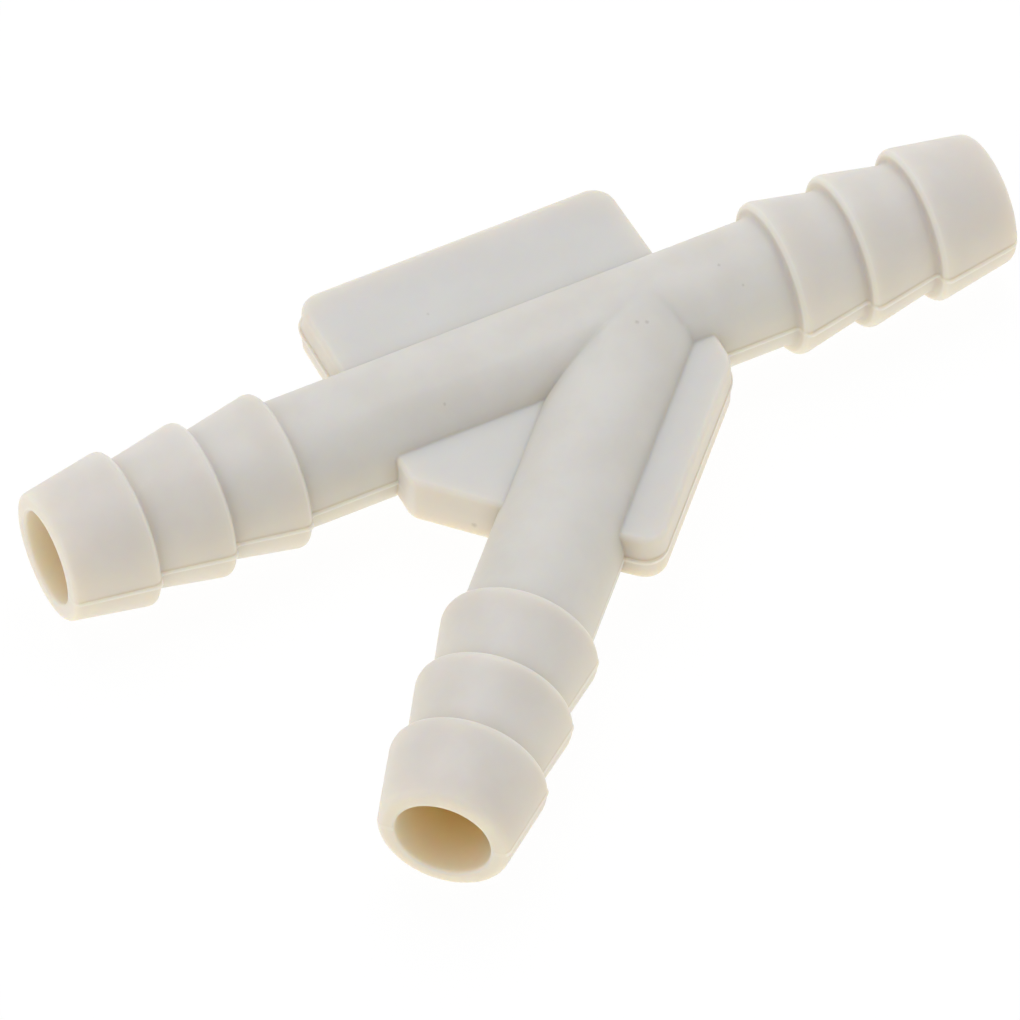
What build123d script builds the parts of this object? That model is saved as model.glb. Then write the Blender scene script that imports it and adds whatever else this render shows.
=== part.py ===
from build123d import *
import os
from math import cos, radians, sin, tan

# A moulded Y connector for soft hose.  A straight run lies along X, and a branch leaves it
# where the two axes cross, at the origin, sloping back towards the run's left end.  Every
# end is a hose tail of three barbs, and a flat web braces the fork in the plane of the Y.
# The mould parts on the XY plane, and a fine ridge of flash runs round the body there.

# ---- pipes, mm ----
pipe_diameter = 8.0
bore_diameter = 5.9
run_left_length = 39.4          # from the crossing of the axes to the mouth
run_right_length = 23.2
branch_length = 40.4
branch_angle = 46.5             # between the branch and the left part of the run

# ---- hose tails: nose from the mouth to the first barb's back face, pitch from back to back ----
barb_count = 3
barb_diameter = 9.65
left_nose, left_pitch = 5.4, 4.94
right_nose, right_pitch = 5.48, 4.66
branch_nose, branch_pitch = 5.55, 5.07
crest_level = 0.22              # cylinder on top of a barb, in front of its cut back edge
crest_cut = 0.36
mouth_rounding = 0.45

# ---- web: a back plate, a gusset in the fork and a side plate along the branch ----
web_thickness = 3.6
web_edge_rounding = 0.35
draft_angle = 2.5               # both ways from the parting plane
back_plate_width = 10.0         # from the run's axis to the outer edge
back_plate_left = 18.35
back_plate_right = 2.75
back_plate_lean = 2.2           # its right side leans inwards
back_plate_corner = 1.4
gusset_left = 18.25
gusset_reach = 17.05            # along the branch, to the front edge
gusset_front_tilt = 2.5         # the front edge closes this much towards the run
gusset_corner = 1.1
side_plate_width = 6.25         # from the branch's axis to the outer edge
side_plate_reach = 17.05
side_plate_right = 3.1
side_plate_end_corner = 1.4
side_plate_top_corner = 1.9

# ---- flash on the parting line ----
flash_width = 0.12
flash_depth = 0.25

pipe_radius = pipe_diameter / 2
barb_radius = barb_diameter / 2
bore_radius = bore_diameter / 2

# The branch's own directions in the plane of the Y: outwards along it, and to its open side.
angle = radians(branch_angle)
along = Vector(-cos(angle), -sin(angle), 0)
aside = Vector(sin(angle), -cos(angle), 0)
branch_plane = Plane(origin=(0, 0, 0), x_dir=along, z_dir=(0, 0, 1))


def barb_backs(mouth, nose, pitch):
    """How far from the crossing each barb's back face lies, outermost first."""
    return [mouth - nose - pitch * barb for barb in range(barb_count)]


def tail_outline(mouth, nose, pitch):
    """Half section of a hose tail as (distance, radius), from the mouth's centre inwards."""
    outline = [(mouth, 0), (mouth, pipe_radius)]
    for back in barb_backs(mouth, nose, pitch):
        outline.append((back + crest_cut + crest_level, barb_radius))
        outline.append((back, barb_radius))
        outline.append((back, pipe_radius))
    return outline


def mirrored(points):
    return [(-distance, radius) for distance, radius in points]


def pipe_section(outline, crests, mouths):
    """A flat face inside the outline, with the barbs' back edges cut and the mouths rounded."""
    with BuildSketch() as section:
        with BuildLine():
            Polyline(*outline, close=True)
        make_face()
        for crest in crests:
            chamfer(vertices().sort_by_distance(crest)[0], length=crest_cut)
        for mouth in mouths:
            fillet(vertices().sort_by_distance(mouth)[0], radius=mouth_rounding)
    return section.sketch


def run_section():
    left = (run_left_length, left_nose, left_pitch)
    right = (run_right_length, right_nose, right_pitch)
    crests = [(back, barb_radius) for back in barb_backs(*right)]
    crests += [(-back, barb_radius) for back in barb_backs(*left)]
    return pipe_section(
        tail_outline(*right) + mirrored(reversed(tail_outline(*left))),
        crests,
        [(run_right_length, pipe_radius), (-run_left_length, pipe_radius)],
    )


def branch_section():
    tail = (branch_length, branch_nose, branch_pitch)
    return pipe_section(
        tail_outline(*tail) + [(0, pipe_radius), (0, 0)],
        [(back, barb_radius) for back in barb_backs(*tail)],
        [(branch_length, pipe_radius)],
    )


def plate_face(outline, corners):
    """A plate's face, with the named corners of its outline rounded."""
    with BuildSketch() as face:
        with BuildLine():
            Polyline(*outline, close=True)
        make_face()
        for corner, rounding in corners:
            fillet(vertices().sort_by_distance(corner)[0], radius=rounding)
    return face.sketch


def back_plate():
    left = (-back_plate_left, back_plate_width)
    lean = back_plate_width * tan(radians(back_plate_lean))
    right = (back_plate_right - lean, back_plate_width)
    return plate_face(
        [(back_plate_right, 0), right, left, (-back_plate_left, 0)],
        [(left, back_plate_corner), (right, back_plate_corner)],
    )


def gusset():
    front = along * gusset_reach
    edge = along.rotate(Axis.Z, -90 - gusset_front_tilt)
    outer = front + edge * ((-gusset_left - front.X) / edge.X)
    return plate_face([(-gusset_left, 0), outer, front, (0, 0)], [(outer, gusset_corner)])


def side_plate():
    end = along * side_plate_reach
    end_outer = end + aside * side_plate_width
    top_outer = end_outer + along * ((side_plate_right - end_outer.X) / along.X)
    return plate_face(
        [(0, 0), end, end_outer, top_outer, (side_plate_right, 0)],
        [(end_outer, side_plate_end_corner), (top_outer, side_plate_top_corner)],
    )


def plate(face):
    """A plate with draft from the parting plane and both of its rims rounded over."""
    with BuildPart() as body:
        extrude(face, amount=web_thickness / 2, both=True, taper=draft_angle)
        flats = faces().sort_by(Axis.Z)
        fillet(flats[0].edges() + flats[-1].edges(), radius=web_edge_rounding)
    return body.part


def body_outline():
    """What the parting plane cuts between the tails: the web and the plain pipes."""
    run_start = -barb_backs(run_left_length, left_nose, left_pitch)[-1]
    run_end = barb_backs(run_right_length, right_nose, right_pitch)[-1]
    reach = along * barb_backs(branch_length, branch_nose, branch_pitch)[-1]
    half_pipe = aside * pipe_radius
    with BuildSketch() as outline:
        add(back_plate())
        add(gusset())
        add(side_plate())
        Polygon((run_start, -pipe_radius), (run_end, -pipe_radius),
                (run_end, pipe_radius), (run_start, pipe_radius), align=None)
        Polygon(half_pipe, -half_pipe, reach - half_pipe, reach + half_pipe, align=None)
    return outline.sketch


with BuildPart() as y_connector:
    revolve(run_section(), axis=Axis.X)
    revolve(branch_plane * branch_section(), axis=Axis((0, 0, 0), along))
    for face in (back_plate(), gusset(), side_plate()):
        add(plate(face))
    with BuildSketch(Plane.XY):
        add(body_outline())
        offset(amount=flash_width, kind=Kind.INTERSECTION)
    extrude(amount=-flash_depth)
    with BuildSketch(Plane.YZ.offset(-run_left_length)):
        Circle(bore_radius)
    extrude(amount=run_left_length + run_right_length, mode=Mode.SUBTRACT)
    with BuildSketch(Plane(origin=(0, 0, 0), z_dir=along)):
        Circle(bore_radius)
    extrude(amount=branch_length, mode=Mode.SUBTRACT)

y_connector.part.label = "y_connector"
os.makedirs("parts", exist_ok=True)
export_step(y_connector.part, "parts/y_connector.step")
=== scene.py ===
from math import cos, radians, sin, tan

import bmesh
import bpy
from mathutils import Matrix, Vector


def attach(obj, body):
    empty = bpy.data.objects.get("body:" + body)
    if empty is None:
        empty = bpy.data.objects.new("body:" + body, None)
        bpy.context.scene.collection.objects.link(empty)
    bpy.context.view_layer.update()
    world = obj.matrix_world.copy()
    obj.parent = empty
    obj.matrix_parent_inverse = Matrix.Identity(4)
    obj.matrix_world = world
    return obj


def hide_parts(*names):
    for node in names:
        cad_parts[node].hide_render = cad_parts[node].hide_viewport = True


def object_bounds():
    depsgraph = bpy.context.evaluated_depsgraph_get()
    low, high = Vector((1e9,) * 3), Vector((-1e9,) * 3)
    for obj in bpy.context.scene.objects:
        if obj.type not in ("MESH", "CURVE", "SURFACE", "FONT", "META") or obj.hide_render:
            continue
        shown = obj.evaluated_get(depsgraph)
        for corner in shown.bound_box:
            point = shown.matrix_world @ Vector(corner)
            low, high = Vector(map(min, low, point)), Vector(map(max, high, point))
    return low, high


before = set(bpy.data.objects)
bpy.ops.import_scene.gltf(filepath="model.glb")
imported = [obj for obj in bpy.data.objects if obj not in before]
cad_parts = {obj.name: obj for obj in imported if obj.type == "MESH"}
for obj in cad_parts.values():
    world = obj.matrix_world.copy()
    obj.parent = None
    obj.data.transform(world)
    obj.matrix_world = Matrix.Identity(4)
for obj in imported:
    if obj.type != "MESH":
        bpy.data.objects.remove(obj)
cad_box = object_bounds()

# The fitting is modelled in millimetres about the crossing of its axes and brought to
# metres at the end, so the sizes below are the ones on its drawing.
MM = 0.001

# ---- pipes ----
PIPE_RADIUS = 4.0
BORE_RADIUS = 2.95
BORE_LEAD_IN = 0.1              # breaks the sharp edge where a bore leaves its mouth
BORE_OVERSHOOT = 0.5            # a bore's tool starts this far outside the mouth
RUN_LEFT = 39.4                 # from the crossing of the axes to the mouth
RUN_RIGHT = 23.2
BRANCH = 40.4
BRANCH_ANGLE = radians(46.5)    # between the branch and the left part of the run

# ---- hose tails: (mouth, nose, pitch of the barbs, rounding of the mouth) ----
LEFT_TAIL = (RUN_LEFT, 5.4, 4.94, 0.3)
RIGHT_TAIL = (RUN_RIGHT, 5.48, 4.66, 0.6)
BRANCH_TAIL = (BRANCH, 5.55, 5.07, 0.42)
TAIL_LENGTH = 16.6              # from a mouth to just past the innermost barb
BARBS = 3
BARB_RADIUS = 4.82
BARB_LEVEL = 0.58               # cylinder on top of a barb, in front of its back edge
CREST_ROUNDING = 0.42
ROOT_ROUNDING = 0.34

# ---- web: a back plate, a gusset in the fork and a side plate along the branch ----
WEB_HALF = 1.8                  # half its thickness
DRAFT = tan(radians(2.5)) * WEB_HALF
RIM_ROUNDING = 0.35
BACK_PLATE_LEFT = -18.35
BACK_PLATE_RIGHT = 2.75
BACK_PLATE_WIDTH = 10.0
BACK_PLATE_LEAN = radians(2.2)  # its right side leans inwards
BACK_PLATE_CORNER = 1.4
GUSSET_LEFT = -18.25
GUSSET_REACH = 17.05            # along the branch, to the front edge
GUSSET_TILT = radians(2.5)      # the front edge closes this much towards the run
GUSSET_CORNER = 1.1
SIDE_PLATE_RIGHT = 3.1
SIDE_PLATE_REACH = 17.05
SIDE_PLATE_WIDTH = 6.25
SIDE_PLATE_END_CORNER = 1.4
SIDE_PLATE_TOP_CORNER = 1.9
GUSSET_BLANK_FRONT = -14.0      # the blanks are cut back from these
SIDE_PLATE_BLANK = (-14.0, -20.0)

# ---- flash on the parting line ----
RUN_FLASH = 0.14                # how far it stands out of each body
BRANCH_FLASH = 0.05
PLATE_FLASH = 0.11
FLASH_HALF = 0.13               # half its height
FLASH_DROP = 0.1                # its middle lies this far under the parting plane
FLASH_SHORT = 0.998             # a pipe's flash is this much of its length, clear of the mouths

# ---- fineness of the mesh ----
RING_STEPS = 128
ROUND_STEPS = 5
CORNER_STEPS = 8
SMOOTH_ANGLE = radians(32)
TINY = 0.001
LEVEL_FACE = 0.99               # a face is level past this share of its normal along Z

ACROSS = (1.0, 0.0, 0.0)
UP = (0.0, 0.0, 1.0)
ALONG = Vector((-cos(BRANCH_ANGLE), -sin(BRANCH_ANGLE), 0))
ASIDE = Vector((sin(BRANCH_ANGLE), -cos(BRANCH_ANGLE), 0))


# ---------------------------------------------------------------- modelling helpers
def add_primitive(operator, name, **values):
    """A new primitive by itself, its place in its mesh and its object at the origin."""
    bpy.ops.object.select_all(action="DESELECT")
    operator(**values)
    piece = bpy.context.object
    piece.name = name
    bpy.ops.object.transform_apply(location=True, rotation=True, scale=True)
    return piece


def make_active(piece):
    bpy.ops.object.select_all(action="DESELECT")
    piece.select_set(True)
    bpy.context.view_layer.objects.active = piece


def pick(piece, kind, wanted):
    """Selects the vertices, edges or faces of a piece in edit mode that pass the test."""
    bpy.ops.mesh.select_mode(type=kind)
    bpy.ops.mesh.select_all(action="DESELECT")
    mesh = bmesh.from_edit_mesh(piece.data)
    for element in {"VERT": mesh.verts, "EDGE": mesh.edges, "FACE": mesh.faces}[kind]:
        if wanted(element):
            element.select_set(True)
    bmesh.update_edit_mesh(piece.data)


def copy_of(piece, name):
    twin = piece.copy()
    twin.data = piece.data.copy()
    twin.name = name
    bpy.context.scene.collection.objects.link(twin)
    return twin


def middle_of(piece):
    return sum((Vector(corner) for corner in piece.bound_box), Vector()) / 8


def resize_mesh(piece, x, y, z, about=(0, 0, 0)):
    make_active(piece)
    bpy.ops.object.mode_set(mode="EDIT")
    bpy.ops.mesh.select_all(action="SELECT")
    bpy.ops.transform.resize(value=(x, y, z), center_override=about)
    bpy.ops.object.mode_set(mode="OBJECT")


def shift_mesh(piece, x, y, z):
    piece.location = (x, y, z)
    make_active(piece)
    bpy.ops.object.transform_apply(location=True, rotation=False, scale=False)


def turn_outwards():
    """Makes every face of the mesh in edit mode point outwards."""
    bpy.ops.mesh.select_all(action="SELECT")
    bpy.ops.mesh.normals_make_consistent(inside=False)


def combine(piece, tool, operation):
    """Joins the tool to the piece, or cuts it out, and deletes the tool."""
    make_active(piece)
    change = piece.modifiers.new("combine", "BOOLEAN")
    change.operation = operation
    change.solver = "MANIFOLD"
    change.object = tool
    bpy.ops.object.modifier_apply(modifier=change.name)
    bpy.data.objects.remove(tool)


# ---------------------------------------------------------------- pipes and hose tails
def barb_backs(tail):
    """How far from the crossing each barb's back face lies, outermost first."""
    mouth, nose, pitch, _ = tail
    return [mouth - nose - pitch * barb for barb in range(BARBS)]


def tail_outline(tail):
    """Half section of a hose tail as (distance, radius), from the mouth inwards."""
    outline = [(tail[0], PIPE_RADIUS)]
    for back in barb_backs(tail):
        outline += [(back + BARB_LEVEL, BARB_RADIUS), (back, BARB_RADIUS), (back, PIPE_RADIUS)]
    return outline


def tail_roundings(tail):
    """The rings of a hose tail that are rounded, each as ((distance, radius), rounding)."""
    mouth, _, _, rounding = tail
    roundings = [((mouth, PIPE_RADIUS), rounding)]
    for back in barb_backs(tail):
        roundings.append(((back, BARB_RADIUS), CREST_ROUNDING))
        roundings.append(((back, PIPE_RADIUS), ROOT_ROUNDING))
    return roundings


def mirrored(rings):
    return [(-distance, radius) for distance, radius in rings]


def turned_body(name, outline, roundings=()):
    """A solid of revolution about X, drawn out ring by ring, some of its rings rounded."""
    distance, radius = outline[0]
    body = add_primitive(bpy.ops.mesh.primitive_circle_add, name, vertices=RING_STEPS,
                         radius=radius, fill_type="NGON", location=(distance, 0, 0),
                         rotation=(0, radians(90), 0))
    bpy.ops.object.mode_set(mode="EDIT")
    bpy.ops.mesh.select_all(action="SELECT")
    for (start, old), (stop, new) in zip(outline, outline[1:]):
        bpy.ops.mesh.extrude_region_move(
            TRANSFORM_OT_translate={"value": (stop - start, 0, 0)})
        if new != old:
            bpy.ops.transform.resize(value=(1, new / old, new / old),
                                     center_override=(stop, 0, 0))
    for (place, radius), size in roundings:
        pick(body, "EDGE", lambda edge: all(
            abs(corner.co.x - place) < TINY and abs(corner.co.yz.length - radius) < TINY
            for corner in edge.verts))
        bpy.ops.mesh.bevel(offset=size, segments=ROUND_STEPS, affect="EDGES")
    turn_outwards()
    bpy.ops.object.mode_set(mode="OBJECT")
    return body


def turn_run():
    left, right = tail_outline(LEFT_TAIL), tail_outline(RIGHT_TAIL)
    left_rounds = [((-place, radius), size) for (place, radius), size in tail_roundings(LEFT_TAIL)]
    return turned_body("run", right + mirrored(reversed(left)),
                       tail_roundings(RIGHT_TAIL) + left_rounds)


def turn_branch():
    return turned_body("branch", tail_outline(BRANCH_TAIL) + [(0, PIPE_RADIUS)],
                       tail_roundings(BRANCH_TAIL))


def swing_to_branch(piece):
    """Turns a piece that lies along +X so that it lies along the branch."""
    piece.rotation_euler.z = radians(180) + BRANCH_ANGLE
    make_active(piece)
    bpy.ops.object.transform_apply(location=False, rotation=True, scale=False)
    return piece


# ---------------------------------------------------------------- bores
def bore_end(mouth, way):
    """A bore tool's flare at one mouth as (distance, radius), from outside to inside."""
    return [(way * (mouth + BORE_OVERSHOOT), BORE_RADIUS + BORE_LEAD_IN + BORE_OVERSHOOT),
            (way * (mouth - BORE_LEAD_IN), BORE_RADIUS)]


def turn_bores():
    """One tool that cuts both bores."""
    bores = turned_body("bores", bore_end(RUN_RIGHT, 1) + bore_end(RUN_LEFT, -1)[::-1])
    branch_bore = turned_body("branch_bore", bore_end(BRANCH, 1) + [(0, BORE_RADIUS)])
    combine(bores, swing_to_branch(branch_bore), "UNION")
    return bores


# ---------------------------------------------------------------- web
def cut_plate(name, low, high, cuts, corners, half=WEB_HALF):
    """A flat plate: a blank cut to its outline, its upright corners rounded.

    cuts are (point, outward normal); corners are (x, y, rounding's reach along the sides)."""
    size = (high[0] - low[0], high[1] - low[1], 2 * half)
    middle = ((high[0] + low[0]) / 2, (high[1] + low[1]) / 2, 0)
    plate = add_primitive(bpy.ops.mesh.primitive_cube_add, name, size=1, location=middle, scale=size)
    bpy.ops.object.mode_set(mode="EDIT")
    for point, normal in cuts:
        bpy.ops.mesh.select_all(action="SELECT")
        bpy.ops.mesh.bisect(plane_co=point, plane_no=normal, use_fill=True,
                            clear_outer=True, threshold=TINY)
    for x, y, reach in corners:
        pick(plate, "EDGE", lambda edge: all(
            abs(corner.co.x - x) < TINY and abs(corner.co.y - y) < TINY for corner in edge.verts))
        bpy.ops.mesh.bevel(offset=reach, segments=CORNER_STEPS, affect="EDGES")
    bpy.ops.object.mode_set(mode="OBJECT")
    return plate


def soften_plate(plate):
    """Gives a plate its draft, both ways from the middle, and rounds both of its rims over."""
    width, depth, thick = plate.dimensions
    middle = middle_of(plate)
    make_active(plate)
    bpy.ops.object.mode_set(mode="EDIT")
    bpy.ops.mesh.select_all(action="SELECT")
    bpy.ops.mesh.bisect(plane_co=(0, 0, 0), plane_no=UP, threshold=TINY)
    for side in (1, -1):
        pick(plate, "VERT", lambda corner: corner.co.z * side > thick / 2 - TINY)
        bpy.ops.transform.resize(value=(1 - 2 * DRAFT / width, 1 - 2 * DRAFT / depth, 1),
                                 center_override=middle)
        pick(plate, "FACE", lambda face: face.normal.z * side > LEVEL_FACE)
        bpy.ops.mesh.region_to_loop()
        bpy.ops.mesh.bevel(offset=RIM_ROUNDING, segments=ROUND_STEPS, affect="EDGES")
    turn_outwards()
    bpy.ops.object.mode_set(mode="OBJECT")


def corner_reach(radius, interior):
    """How far along its two sides a corner's rounding starts."""
    return radius / tan(interior / 2)


def back_plate_outline():
    top_right = BACK_PLATE_RIGHT - BACK_PLATE_WIDTH * tan(BACK_PLATE_LEAN)
    return ((BACK_PLATE_LEFT, 0), (BACK_PLATE_RIGHT, BACK_PLATE_WIDTH),
            [((BACK_PLATE_RIGHT, 0, 0), (cos(BACK_PLATE_LEAN), sin(BACK_PLATE_LEAN), 0))],
            [(BACK_PLATE_LEFT, BACK_PLATE_WIDTH, BACK_PLATE_CORNER),
             (top_right, BACK_PLATE_WIDTH, BACK_PLATE_CORNER)])


def gusset_outline():
    front = ALONG * GUSSET_REACH
    across = ALONG.copy()
    across.rotate(Matrix.Rotation(-radians(90) - GUSSET_TILT, 3, "Z"))
    outer = front + across * ((GUSSET_LEFT - front.x) / across.x)
    outward = Vector((across.y, -across.x, 0))
    if outward.dot(ALONG) < 0:
        outward.negate()
    interior = Vector((0, 1, 0)).angle(front - outer)
    return ((GUSSET_LEFT, GUSSET_BLANK_FRONT), (0, 0),
            [((0, 0, 0), ASIDE), (front, outward)],
            [(outer.x, outer.y, corner_reach(GUSSET_CORNER, interior))])


def side_plate_outline():
    end = ALONG * SIDE_PLATE_REACH
    end_outer = end + ASIDE * SIDE_PLATE_WIDTH
    top_outer = end_outer + ALONG * ((SIDE_PLATE_RIGHT - end_outer.x) / ALONG.x)
    interior = Vector((0, 1, 0)).angle(end_outer - top_outer)
    return (SIDE_PLATE_BLANK, (SIDE_PLATE_RIGHT, 0),
            [((0, 0, 0), -ASIDE), (end_outer, ASIDE), (end, ALONG)],
            [(end_outer.x, end_outer.y, SIDE_PLATE_END_CORNER),
             (top_outer.x, top_outer.y, corner_reach(SIDE_PLATE_TOP_CORNER, interior))])


def cut_web():
    plates = [cut_plate("back_plate", *back_plate_outline()),
              cut_plate("gusset", *gusset_outline()),
              cut_plate("side_plate", *side_plate_outline())]
    for plate in plates:
        soften_plate(plate)
    return plates


# ---------------------------------------------------------------- flash
def flash_of_pipe(pipe, width):
    """The fin that a pipe's parting line leaves: the pipe pressed flat and a little wide."""
    fin = copy_of(pipe, pipe.name + "_flash")
    spread = 1 + width / PIPE_RADIUS
    # Pressed to an ellipse, the fin is FLASH_HALF high where it leaves the pipe's side.
    edge = (1 - 1 / spread ** 2) ** 0.5
    resize_mesh(fin, FLASH_SHORT, spread, FLASH_HALF / (edge * PIPE_RADIUS))
    return fin


def flash_of_plate(name, outline):
    """The fin round a plate: the plate's outline cut from a thin blank and a little wide."""
    fin = cut_plate(name, *outline, half=FLASH_HALF)
    width, depth, _ = fin.dimensions
    resize_mesh(fin, 1 + 2 * PLATE_FLASH / width, 1 + 2 * PLATE_FLASH / depth, 1,
                about=middle_of(fin))
    return fin


# ---------------------------------------------------------------- the whole fitting
def make_fitting():
    """The run, branch, web and flash joined into one moulding, with the bores cut through."""
    run, branch = turn_run(), turn_branch()
    fins = [flash_of_pipe(run, RUN_FLASH), swing_to_branch(flash_of_pipe(branch, BRANCH_FLASH))]
    swing_to_branch(branch)
    fins += [flash_of_plate("back_plate_flash", back_plate_outline()),
             flash_of_plate("side_plate_flash", side_plate_outline())]
    plates = cut_web()
    for fin in fins:
        shift_mesh(fin, 0, 0, -FLASH_DROP)
    for tool in [branch] + plates + fins:
        combine(run, tool, "UNION")
    combine(run, turn_bores(), "DIFFERENCE")
    run.name = "y_connector_moulding"
    run.data.name = run.name
    make_active(run)
    bpy.ops.object.shade_smooth_by_angle(angle=SMOOTH_ANGLE)
    resize_mesh(run, MM, MM, MM)
    return run


# ---------------------------------------------------------------- node helpers
NODES_IN_ROW = 12
NODE_WIDTH = 200
NODE_HEIGHT = 260


def add_node(tree, kind, **values):
    """A new node. Nodes are laid out in rows, in the order they are made."""
    row, column = divmod(len(tree.nodes), NODES_IN_ROW)
    node = tree.nodes.new(kind)
    node.location = (NODE_WIDTH * column, -NODE_HEIGHT * row)
    for name, value in values.items():
        setattr(node, name, value)
    return node


def plug(tree, socket, value):
    """Gives an input its value: another node's output, a number, a vector or a colour."""
    if isinstance(value, bpy.types.NodeSocket):
        tree.links.new(value, socket)
    elif socket.type == "RGBA":
        socket.default_value = (*value, 1)
    else:
        socket.default_value = value


def number(tree, operation, first, second=None):
    node = add_node(tree, "ShaderNodeMath", operation=operation)
    plug(tree, node.inputs[0], first)
    if second is not None:
        plug(tree, node.inputs[1], second)
    return node.outputs["Value"]


def times(tree, first, second):
    return number(tree, "MULTIPLY", first, second)


def vectors(tree, operation, first, second, output="Value"):
    node = add_node(tree, "ShaderNodeVectorMath", operation=operation)
    plug(tree, node.inputs[0], first)
    if second is not None:
        plug(tree, node.inputs[1], second)
    return node.outputs[output]


def along(tree, vector, axis):
    """How far a vector reaches along an axis."""
    return vectors(tree, "DOT_PRODUCT", vector, axis)


def off_axis(tree, point, axis):
    """A point's distance from the line through the crossing along an axis."""
    off = vectors(tree, "CROSS_PRODUCT", point, axis, "Vector")
    return vectors(tree, "LENGTH", off, None)


def fade(tree, value, full, none):
    """1 where the value is at full, 0 at none, and smooth between."""
    node = add_node(tree, "ShaderNodeMapRange", interpolation_type="SMOOTHSTEP")
    plug(tree, node.inputs["Value"], value)
    node.inputs["From Min"].default_value = min(full, none)
    node.inputs["From Max"].default_value = max(full, none)
    node.inputs["To Min"].default_value = 1.0 if full < none else 0.0
    node.inputs["To Max"].default_value = 0.0 if full < none else 1.0
    return node.outputs["Result"]


def blend(tree, share, first, second):
    """Mixes two colours, each a socket or a plain colour."""
    node = add_node(tree, "ShaderNodeMix", data_type="RGBA")
    factor, colour_a, colour_b = node.inputs[0], node.inputs[6], node.inputs[7]
    plug(tree, factor, share)
    plug(tree, colour_a, first)
    plug(tree, colour_b, second)
    return node.outputs[2]


def noise(tree, point, scale, detail):
    node = add_node(tree, "ShaderNodeTexNoise")
    plug(tree, node.inputs["Scale"], scale)
    plug(tree, node.inputs["Detail"], detail)
    plug(tree, node.inputs["Vector"], point)
    return node.outputs["Fac"]


# ---------------------------------------------------------------- nylon
NYLON_DARK = (0.716, 0.690, 0.655)
NYLON_LIGHT = (0.746, 0.724, 0.695)
NYLON_CLOUD = (0.761, 0.745, 0.724)
# painted highlight colour, for edges, crests and the flash line
NYLON_HIGHLIGHT = (0.85, 0.84, 0.80)
# painted light tone for the lit, up-facing flat tops of the web
NYLON_LIT_FLAT = (0.700, 0.702, 0.688)
# painted warm shade colour, for faces that look sideways or down
NYLON_SHADED_SIDE = (0.730, 0.692, 0.604)
# painted shade colour, for the roots and hollows and over the flash
NYLON_PAINTED_SHADE = (0.61, 0.54, 0.41)
# painted light in the bores: pale at the mouths, amber glow deeper in
NYLON_MOUTH_GLOW = (0.83, 0.785, 0.73)
NYLON_BORE_GLOW = (0.84, 0.74, 0.39)
NYLON_FLECK = (0.16, 0.12, 0.08)

# How strongly each of these colours shows.
CLOUD_SHARE = 0.2
# painted highlights on rounded edges and on the barbs' crests
EDGE_HIGHLIGHT = 0.72
CREST_HIGHLIGHT = 0.36
# painted cool tone on the lit flat tops
LIT_FLAT_COOLNESS = 0.6
# painted warm shade on faces that look sideways or down
SIDE_SHADE_WARMTH = 0.58
END_SHADE_WARMTH = 0.15               # what is left of that on faces that look along the run
# painted shade in the roots and hollows
ROOT_SHADE = 0.42
# painted highlight along the flash and painted shadow just over it
FIN_HIGHLIGHT = 0.65
FIN_SHADE = 0.3
END_FIN_SHARE = 0.2             # what is left of both on faces at the pipes' ends
FLECK_STRENGTH = 0.25

# Fades as (full, none): of noise, of cosines between normals, and of open sky.
MOTTLE_FADE = (0.66, 0.34)
CLOUD_FADE = (0.7, 0.4)
EDGE_FADE = (0.92, 0.999)
FLAT_FADE = (0.995, 0.95)
SIDE_FADE = (-0.1, 0.9)
END_FADE = (0.7, 0.95)
CREST_TURN_FADE = (0.42, 0.2)
ROOT_FADE = (0.55, 0.98)

# Noise as (scale for a metre, detail).
MOTTLE = (260.0, 3.0)
CLOUDS = (70.0, 2.0)
WEAR = (420.0, 4.0)
GRAIN = (2600.0, 2.0)
RIPPLE = (350.0, 2.0)
FLECK_OUTLINE = (9000.0, 2.0)

# How light bends and spreads in it.
REFRACTION = 1.53
SCATTER_COLOUR = (1.0, 0.75, 0.42)  # red goes farthest, blue least
SCATTER = 1.8                   # mm, for red

# Sizes in the finish, mm.
EDGE_WIDTH = 0.38
ROOT_REACH = 1.3
CREST_TOP_FADE = (4.58, 4.38)   # distance from the pipe's axis
CREST_CLEARANCE = 0.1
FIN_SHADE_HEIGHT = 0.13
FIN_SHADE_REACH = 0.09
FIN_SOFTNESS = 1.5              # a fin's line fades out at this many times its reach
GUSSET_FRONT = (-15.6, -9.0, 0.0)
GUSSET_FRONT_FADE = (5.4, 4.6)  # distance from the gusset's front, which has no flash
BORE_WALL_FADE = (0.02, 0.11)   # past the bore's radius
MOUTH_MARGIN = 0.6
RUN_BORE_FADE = 6.5
BRANCH_BORE_FADE = 5.0
LEVEL_MARGIN = 0.05

EDGE_SAMPLES = 6
ROOT_SAMPLES = 4
ROUGHNESS = 0.38
ROUGHNESS_SPREAD = 0.22
RIPPLE_SHARE = 3.0
BUMP_STRENGTH = 0.35
BUMP_DEPTH = 0.01

# Small dark flecks in the plastic: (place, radius), mm.
FLECKS = [
    ((-11.63, 5.39, 1.8), 0.16),
    ((-14.33, -2.33, 3.25), 0.17),
    ((4.73, -0.53, 3.96), 0.18),
    ((5.53, -2.12, 3.39), 0.16),
    ((-1.6, -2.3, 3.98), 0.22),
    ((-1.04, -2.5, 3.88), 0.22),
    ((-15.45, -8.49, -0.68), 0.3),
    ((-26.2, -30.75, -3.11), 0.2),
]
FLECK_RAGGEDNESS = 0.16
FLECK_HEART = 0.4               # share of a fleck's radius that is fully dark
FLECK_BLUR = 0.06

RUN_MIDDLE = (RUN_RIGHT - RUN_LEFT) / 2
RUN_HALF = (RUN_RIGHT + RUN_LEFT) / 2


def in_metres(sizes):
    return [size * MM for size in sizes]


def from_run_middle(tree, point):
    """Distance along the run from its middle, either way."""
    across = number(tree, "SUBTRACT", along(tree, point, ACROSS), RUN_MIDDLE * MM)
    return number(tree, "ABSOLUTE", across)


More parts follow.
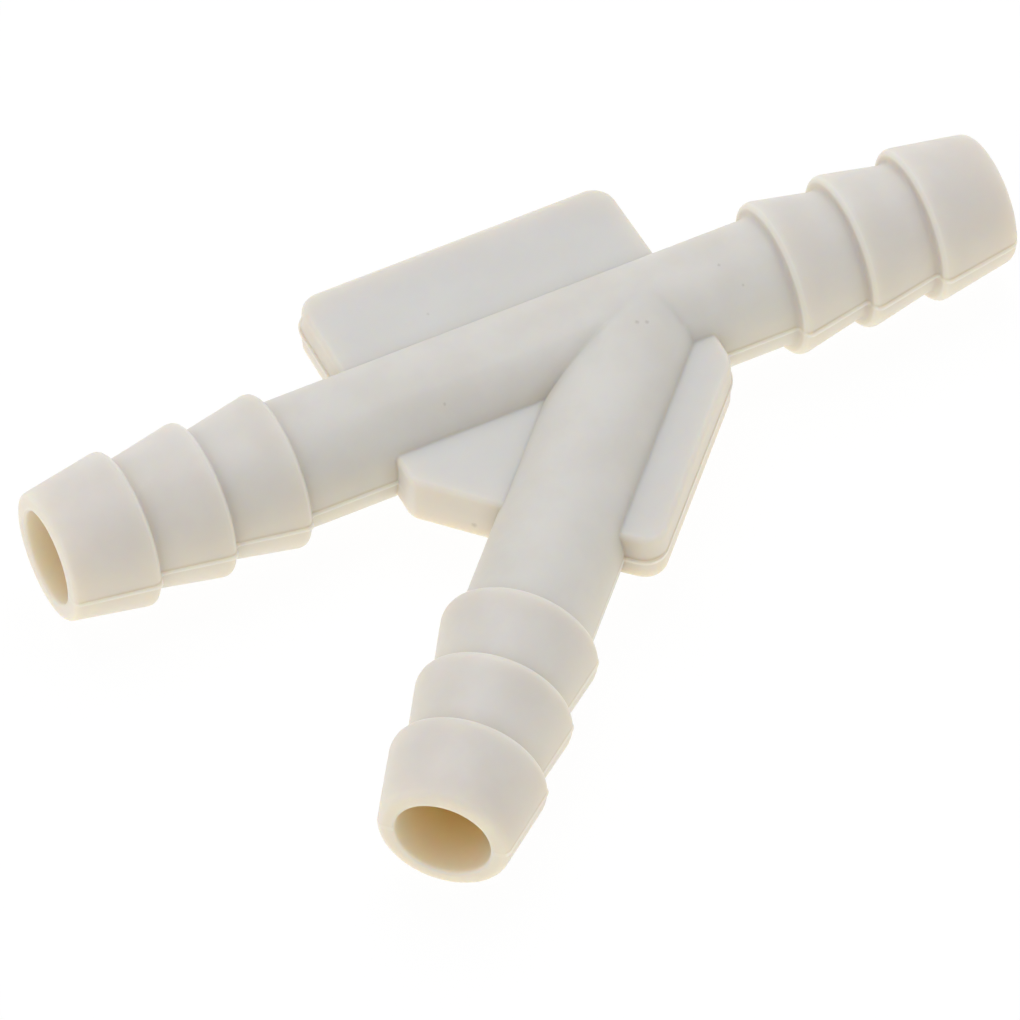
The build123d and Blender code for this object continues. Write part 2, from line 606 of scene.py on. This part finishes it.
def bore_share(tree, point):
    """1 on the walls of the bores, 0 on the outside."""
    wall = in_metres(BORE_RADIUS + past for past in BORE_WALL_FADE)
    in_run = fade(tree, off_axis(tree, point, ACROSS), *wall)
    in_branch = fade(tree, off_axis(tree, point, ALONG), *wall)
    ahead = number(tree, "GREATER_THAN", along(tree, point, ALONG), 0.0)
    return number(tree, "MAXIMUM", in_run, times(tree, in_branch, ahead))


def bore_depth(tree, point):
    """0 at the mouths, rising to 1 a few millimetres inside."""
    in_run = fade(tree, from_run_middle(tree, point),
                  *in_metres((RUN_HALF - RUN_BORE_FADE, RUN_HALF + MOUTH_MARGIN)))
    in_branch = fade(tree, along(tree, point, ALONG),
                     *in_metres((BRANCH - BRANCH_BORE_FADE, BRANCH + MOUTH_MARGIN)))
    return times(tree, in_run, in_branch)


def crest_share(tree, point, normal):
    """1 on the rounded back edge of every barb."""
    crest = 0.0
    for axis, reach, clear in (
            (ACROSS, from_run_middle(tree, point), RUN_HALF - TAIL_LENGTH),
            (ALONG, along(tree, point, ALONG), BRANCH - TAIL_LENGTH)):
        off = off_axis(tree, point, axis)
        high = fade(tree, off, *in_metres(CREST_TOP_FADE))
        turned = number(tree, "ABSOLUTE", along(tree, normal, axis))
        turned = fade(tree, turned, *CREST_TURN_FADE)
        on_tail = number(tree, "GREATER_THAN", reach, clear * MM)
        near = number(tree, "LESS_THAN", off, (BARB_RADIUS + CREST_CLEARANCE) * MM)
        edge = times(tree, times(tree, high, turned), times(tree, on_tail, near))
        crest = number(tree, "MAXIMUM", crest, edge)
    return crest


def fleck_share(tree, point):
    """1 inside the small dark flecks, whose edges are ragged."""
    share = 0.0
    ragged = times(tree, noise(tree, point, *FLECK_OUTLINE), FLECK_RAGGEDNESS * MM)
    for centre, radius in FLECKS:
        away = vectors(tree, "DISTANCE", point, Vector(centre) * MM)
        away = number(tree, "ADD", away, ragged)
        spot = fade(tree, away, *in_metres((FLECK_HEART * radius, radius + FLECK_BLUR)))
        share = number(tree, "MAXIMUM", share, spot)
    return share


def mottled_colour(tree, point):
    """Off-white with a fine mottle and slow pale clouds."""
    mottle = fade(tree, noise(tree, point, *MOTTLE), *MOTTLE_FADE)
    clouds = fade(tree, noise(tree, point, *CLOUDS), *CLOUD_FADE)
    colour = blend(tree, mottle, NYLON_DARK, NYLON_LIGHT)
    return blend(tree, times(tree, clouds, CLOUD_SHARE), colour, NYLON_CLOUD)


def painted_edge_highlights(tree, colour, point, normal, soft_normal):
    """Painted highlights: rounded edges and the barbs' crests are painted paler, for light glowing
    through the thin plastic there.
    """
    bend = vectors(tree, "DOT_PRODUCT", soft_normal, normal)
    edge = times(tree, fade(tree, bend, *EDGE_FADE), EDGE_HIGHLIGHT)
    crest = times(tree, crest_share(tree, point, normal), CREST_HIGHLIGHT)
    return blend(tree, number(tree, "MAXIMUM", edge, crest), colour, NYLON_HIGHLIGHT)


def tint_lit_flats(tree, colour, point, upward):
    """Painted light tone: the lit, up-facing flat tops of the web are tinted a little cooler than
    the pipes.
    """
    height = number(tree, "ABSOLUTE", along(tree, point, UP))
    level = number(tree, "LESS_THAN", height, (WEB_HALF + LEVEL_MARGIN) * MM)
    flat = times(tree, fade(tree, upward, *FLAT_FADE), level)
    return blend(tree, times(tree, flat, LIT_FLAT_COOLNESS), colour, NYLON_LIT_FLAT)


def warm_shaded_sides(tree, colour, normal, upward):
    """Painted warm shade: faces that look sideways or down are tinted warmer, but not those that
    look along the run.
    """
    endways = number(tree, "ABSOLUTE", along(tree, normal, ACROSS))
    kept = number(tree, "MAXIMUM", fade(tree, endways, *END_FADE), END_SHADE_WARMTH)
    side = times(tree, fade(tree, upward, *SIDE_FADE), kept)
    return blend(tree, times(tree, side, SIDE_SHADE_WARMTH), colour, NYLON_SHADED_SIDE)


def shaded_roots(tree, colour):
    # Painted shade: roots and hollows are darkened where ambient occlusion finds the fitting close
    # by.
    hollow = add_node(tree, "ShaderNodeAmbientOcclusion", samples=ROOT_SAMPLES, only_local=True)
    hollow.inputs["Distance"].default_value = ROOT_REACH * MM
    root = fade(tree, hollow.outputs["AO"], *ROOT_FADE)
    return blend(tree, times(tree, root, ROOT_SHADE), colour, NYLON_PAINTED_SHADE)


def fin_lines(tree, colour, point, normal, in_bore):
    """A painted highlight along the flash and a thin painted shadow just over it, faint on the end
    faces.
    """
    off_gusset = vectors(tree, "DISTANCE", point, Vector(GUSSET_FRONT) * MM)
    off_gusset = fade(tree, off_gusset, *in_metres(GUSSET_FRONT_FADE))
    endways = number(tree, "ABSOLUTE", along(tree, normal, ACROSS))
    endways = number(tree, "MAXIMUM", endways, along(tree, normal, ALONG))
    sideways = number(tree, "MAXIMUM", fade(tree, endways, *END_FADE), END_FIN_SHARE)
    outside = number(tree, "SUBTRACT", 1.0, in_bore)
    shown = times(tree, times(tree, off_gusset, sideways), outside)
    height = along(tree, point, UP)
    # first a painted shadow band just over the flash, then a painted highlight on the flash itself
    for middle, reach, share, shade in (
            (FIN_SHADE_HEIGHT, FIN_SHADE_REACH, FIN_SHADE, NYLON_PAINTED_SHADE),
            (-FLASH_DROP, FLASH_HALF, FIN_HIGHLIGHT, NYLON_HIGHLIGHT)):
        off = number(tree, "ABSOLUTE", number(tree, "SUBTRACT", height, middle * MM))
        band = times(tree, fade(tree, off, *in_metres((reach, FIN_SOFTNESS * reach))), shown)
        colour = blend(tree, times(tree, band, share), colour, shade)
    return colour


def glowing_bores(tree, colour, point, in_bore):
    """Painted light: the bores are painted pale at the mouths, where light comes in, turning to an
    amber glow inside for the light that comes through the walls.
    """
    colour = blend(tree, in_bore, colour, NYLON_MOUTH_GLOW)
    inside = times(tree, in_bore, bore_depth(tree, point))
    return blend(tree, inside, colour, NYLON_BORE_GLOW)


def add_gloss(tree, plastic, point):
    """Gloss that differs from place to place."""
    spread = times(tree, noise(tree, point, *WEAR), ROUGHNESS_SPREAD)
    roughness = number(tree, "ADD", spread, ROUGHNESS)
    plug(tree, plastic.inputs["Roughness"], roughness)


def add_grain(tree, plastic, point, soft_normal):
    """A fine grain on a slow ripple, over softened edges."""
    ripple = times(tree, noise(tree, point, *RIPPLE), RIPPLE_SHARE)
    bump = add_node(tree, "ShaderNodeBump")
    bump.inputs["Strength"].default_value = BUMP_STRENGTH
    bump.inputs["Distance"].default_value = BUMP_DEPTH * MM
    plug(tree, bump.inputs["Height"], number(tree, "ADD", ripple, noise(tree, point, *GRAIN)))
    plug(tree, bump.inputs["Normal"], soft_normal)
    plug(tree, plastic.inputs["Normal"], bump.outputs["Normal"])


def natural_nylon():
    """Undyed moulded nylon: off-white, satin and translucent, warmer where light has gone far
    through it, with mottling and dark flecks.
    Painted light over that: warm painted shade on faces that look sideways or down, a cooler painted
    tone on the lit flat tops, painted highlights on rounded edges, crests and the flash, painted
    shade in its roots and over the flash, and a painted glow in the bores."""
    material = bpy.data.materials.new("natural_nylon")
    material.use_nodes = True
    tree = material.node_tree
    tree.nodes.clear()
    plastic = add_node(tree, "ShaderNodeBsdfPrincipled")
    plastic.inputs["IOR"].default_value = REFRACTION
    plastic.inputs["Subsurface Weight"].default_value = 1.0
    plastic.inputs["Subsurface Radius"].default_value = SCATTER_COLOUR
    plastic.inputs["Subsurface Scale"].default_value = SCATTER * MM
    out = add_node(tree, "ShaderNodeOutputMaterial")
    plug(tree, out.inputs["Surface"], plastic.outputs["BSDF"])

    point = add_node(tree, "ShaderNodeTexCoord").outputs["Object"]
    normal = add_node(tree, "ShaderNodeNewGeometry").outputs["Normal"]
    soft = add_node(tree, "ShaderNodeBevel", samples=EDGE_SAMPLES)
    soft.inputs["Radius"].default_value = EDGE_WIDTH * MM
    soft_normal = soft.outputs["Normal"]
    upward = along(tree, normal, UP)
    in_bore = bore_share(tree, point)

    colour = mottled_colour(tree, point)
    colour = painted_edge_highlights(tree, colour, point, normal, soft_normal)
    colour = tint_lit_flats(tree, colour, point, upward)
    colour = warm_shaded_sides(tree, colour, normal, upward)
    colour = shaded_roots(tree, colour)
    colour = fin_lines(tree, colour, point, normal, in_bore)
    colour = glowing_bores(tree, colour, point, in_bore)
    specks = times(tree, fleck_share(tree, point), FLECK_STRENGTH)
    colour = blend(tree, specks, colour, NYLON_FLECK)
    plug(tree, plastic.inputs["Base Color"], colour)
    add_gloss(tree, plastic, point)
    add_grain(tree, plastic, point, soft_normal)
    return material


# ---------------------------------------------------------------- floor and light
WHITE = (1.0, 1.0, 1.0)
PAPER_GREY = (0.8, 0.8, 0.8)
PAPER_FILL = (1.20, 1.135, 0.99)    # what the paper sends up to the fitting's underside
PAPER_GLOW = 1.04
PAPER_GLOW_SHARE = 0.9
FLOOR_SIZE = 3.0
ROOM_LIGHT = 0.73
BACKDROP_LIGHT = 1.0

# Softboxes that point at the fitting: name, (place, width in metres, watts).
SOFTBOXES = {
    "left_softbox": ((-0.6, -0.1, 0.12), 0.4, 0.38),
    "top_softbox": ((0.05, 0.25, 0.6), 0.6, 1.6),
}


def paper():
    """White seamless paper, lit from beneath: bright enough to lose all but a faint shadow,
    and a warm fill for whatever faces down."""
    material = bpy.data.materials.new("white_paper")
    material.use_nodes = True
    tree = material.node_tree
    tree.nodes.clear()
    path = add_node(tree, "ShaderNodeLightPath")
    seen = number(tree, "MAXIMUM", path.outputs["Is Camera Ray"], path.outputs["Is Glossy Ray"])
    seen = number(tree, "MAXIMUM", seen, path.outputs["Is Transmission Ray"])
    glow = add_node(tree, "ShaderNodeEmission")
    glow.inputs["Strength"].default_value = PAPER_GLOW
    plug(tree, glow.inputs["Color"], blend(tree, seen, PAPER_FILL, WHITE))
    lit = add_node(tree, "ShaderNodeBsdfDiffuse")
    plug(tree, lit.inputs["Color"], PAPER_GREY)
    surface = add_node(tree, "ShaderNodeMixShader")
    surface.inputs["Fac"].default_value = PAPER_GLOW_SHARE
    plug(tree, surface.inputs[1], lit.outputs["BSDF"])
    plug(tree, surface.inputs[2], glow.outputs["Emission"])
    out = add_node(tree, "ShaderNodeOutputMaterial")
    plug(tree, out.inputs["Surface"], surface.outputs["Shader"])
    return material


def lay_floor():
    floor = add_primitive(bpy.ops.mesh.primitive_plane_add, "floor", size=FLOOR_SIZE,
                          location=(0, 0, cad_box[0][2]))
    floor.data.materials.append(paper())


def light_room():
    """Even light from all round, and a plain backdrop that only the camera sees."""
    world = bpy.data.worlds.new("studio")
    bpy.context.scene.world = world
    world.use_nodes = True
    tree = world.node_tree
    tree.nodes.clear()
    fill = add_node(tree, "ShaderNodeBackground")
    fill.inputs["Strength"].default_value = ROOM_LIGHT
    backdrop = add_node(tree, "ShaderNodeBackground")
    backdrop.inputs["Strength"].default_value = BACKDROP_LIGHT
    path = add_node(tree, "ShaderNodeLightPath")
    choose = add_node(tree, "ShaderNodeMixShader")
    plug(tree, choose.inputs["Fac"], path.outputs["Is Camera Ray"])
    plug(tree, choose.inputs[1], fill.outputs["Background"])
    plug(tree, choose.inputs[2], backdrop.outputs["Background"])
    out = add_node(tree, "ShaderNodeOutputWorld")
    plug(tree, out.inputs["Surface"], choose.outputs["Shader"])


def hang_softbox(name, place, width, power):
    lamp = bpy.data.lights.new(name, "AREA")
    lamp.shape = "SQUARE"
    lamp.size = width
    lamp.energy = power
    stand = bpy.data.objects.new(name, lamp)
    bpy.context.scene.collection.objects.link(stand)
    stand.location = place
    stand.rotation_euler = Vector(place).to_track_quat("Z", "Y").to_euler()


# ---------------------------------------------------------------- camera
CAMERA_AZIMUTH = radians(-26.262)
CAMERA_ELEVATION = radians(50.986)
CAMERA_ROLL = radians(-0.14)
CAMERA_AIM = (-13.282, -8.907, 0)   # mm
CAMERA_DISTANCE = 1.0516            # m
LENS = 628.8
SENSOR = 36.0
CLIP_NEAR = 0.05
CLIP_FAR = 20.0


def set_camera():
    level_reach = cos(CAMERA_ELEVATION)
    back = Vector((sin(CAMERA_AZIMUTH) * level_reach, -cos(CAMERA_AZIMUTH) * level_reach,
                   sin(CAMERA_ELEVATION)))
    level = Vector((cos(CAMERA_AZIMUTH), sin(CAMERA_AZIMUTH), 0))
    upright = back.cross(level)
    right = cos(CAMERA_ROLL) * level + sin(CAMERA_ROLL) * upright
    up = cos(CAMERA_ROLL) * upright - sin(CAMERA_ROLL) * level
    camera = bpy.data.objects.new("camera", bpy.data.cameras.new("camera"))
    bpy.context.scene.collection.objects.link(camera)
    turn = Matrix((right, up, back)).transposed().to_4x4()
    place = Vector(CAMERA_AIM) * MM + back * CAMERA_DISTANCE
    camera.matrix_world = Matrix.Translation(place) @ turn
    camera.data.lens = LENS
    camera.data.sensor_width = SENSOR
    camera.data.clip_start = CLIP_NEAR
    camera.data.clip_end = CLIP_FAR
    bpy.context.scene.camera = camera


fitting = make_fitting()
# Joining the pieces leaves an empty material slot, which is cleared away first.
fitting.data.materials.clear()
fitting.data.materials.append(natural_nylon())
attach(fitting, "root")
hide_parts("y_connector")

lay_floor()
light_room()
for softbox, (place, width, power) in SOFTBOXES.items():
    hang_softbox(softbox, place, width, power)
set_camera()
bpy.context.scene.view_settings.view_transform = "Standard"
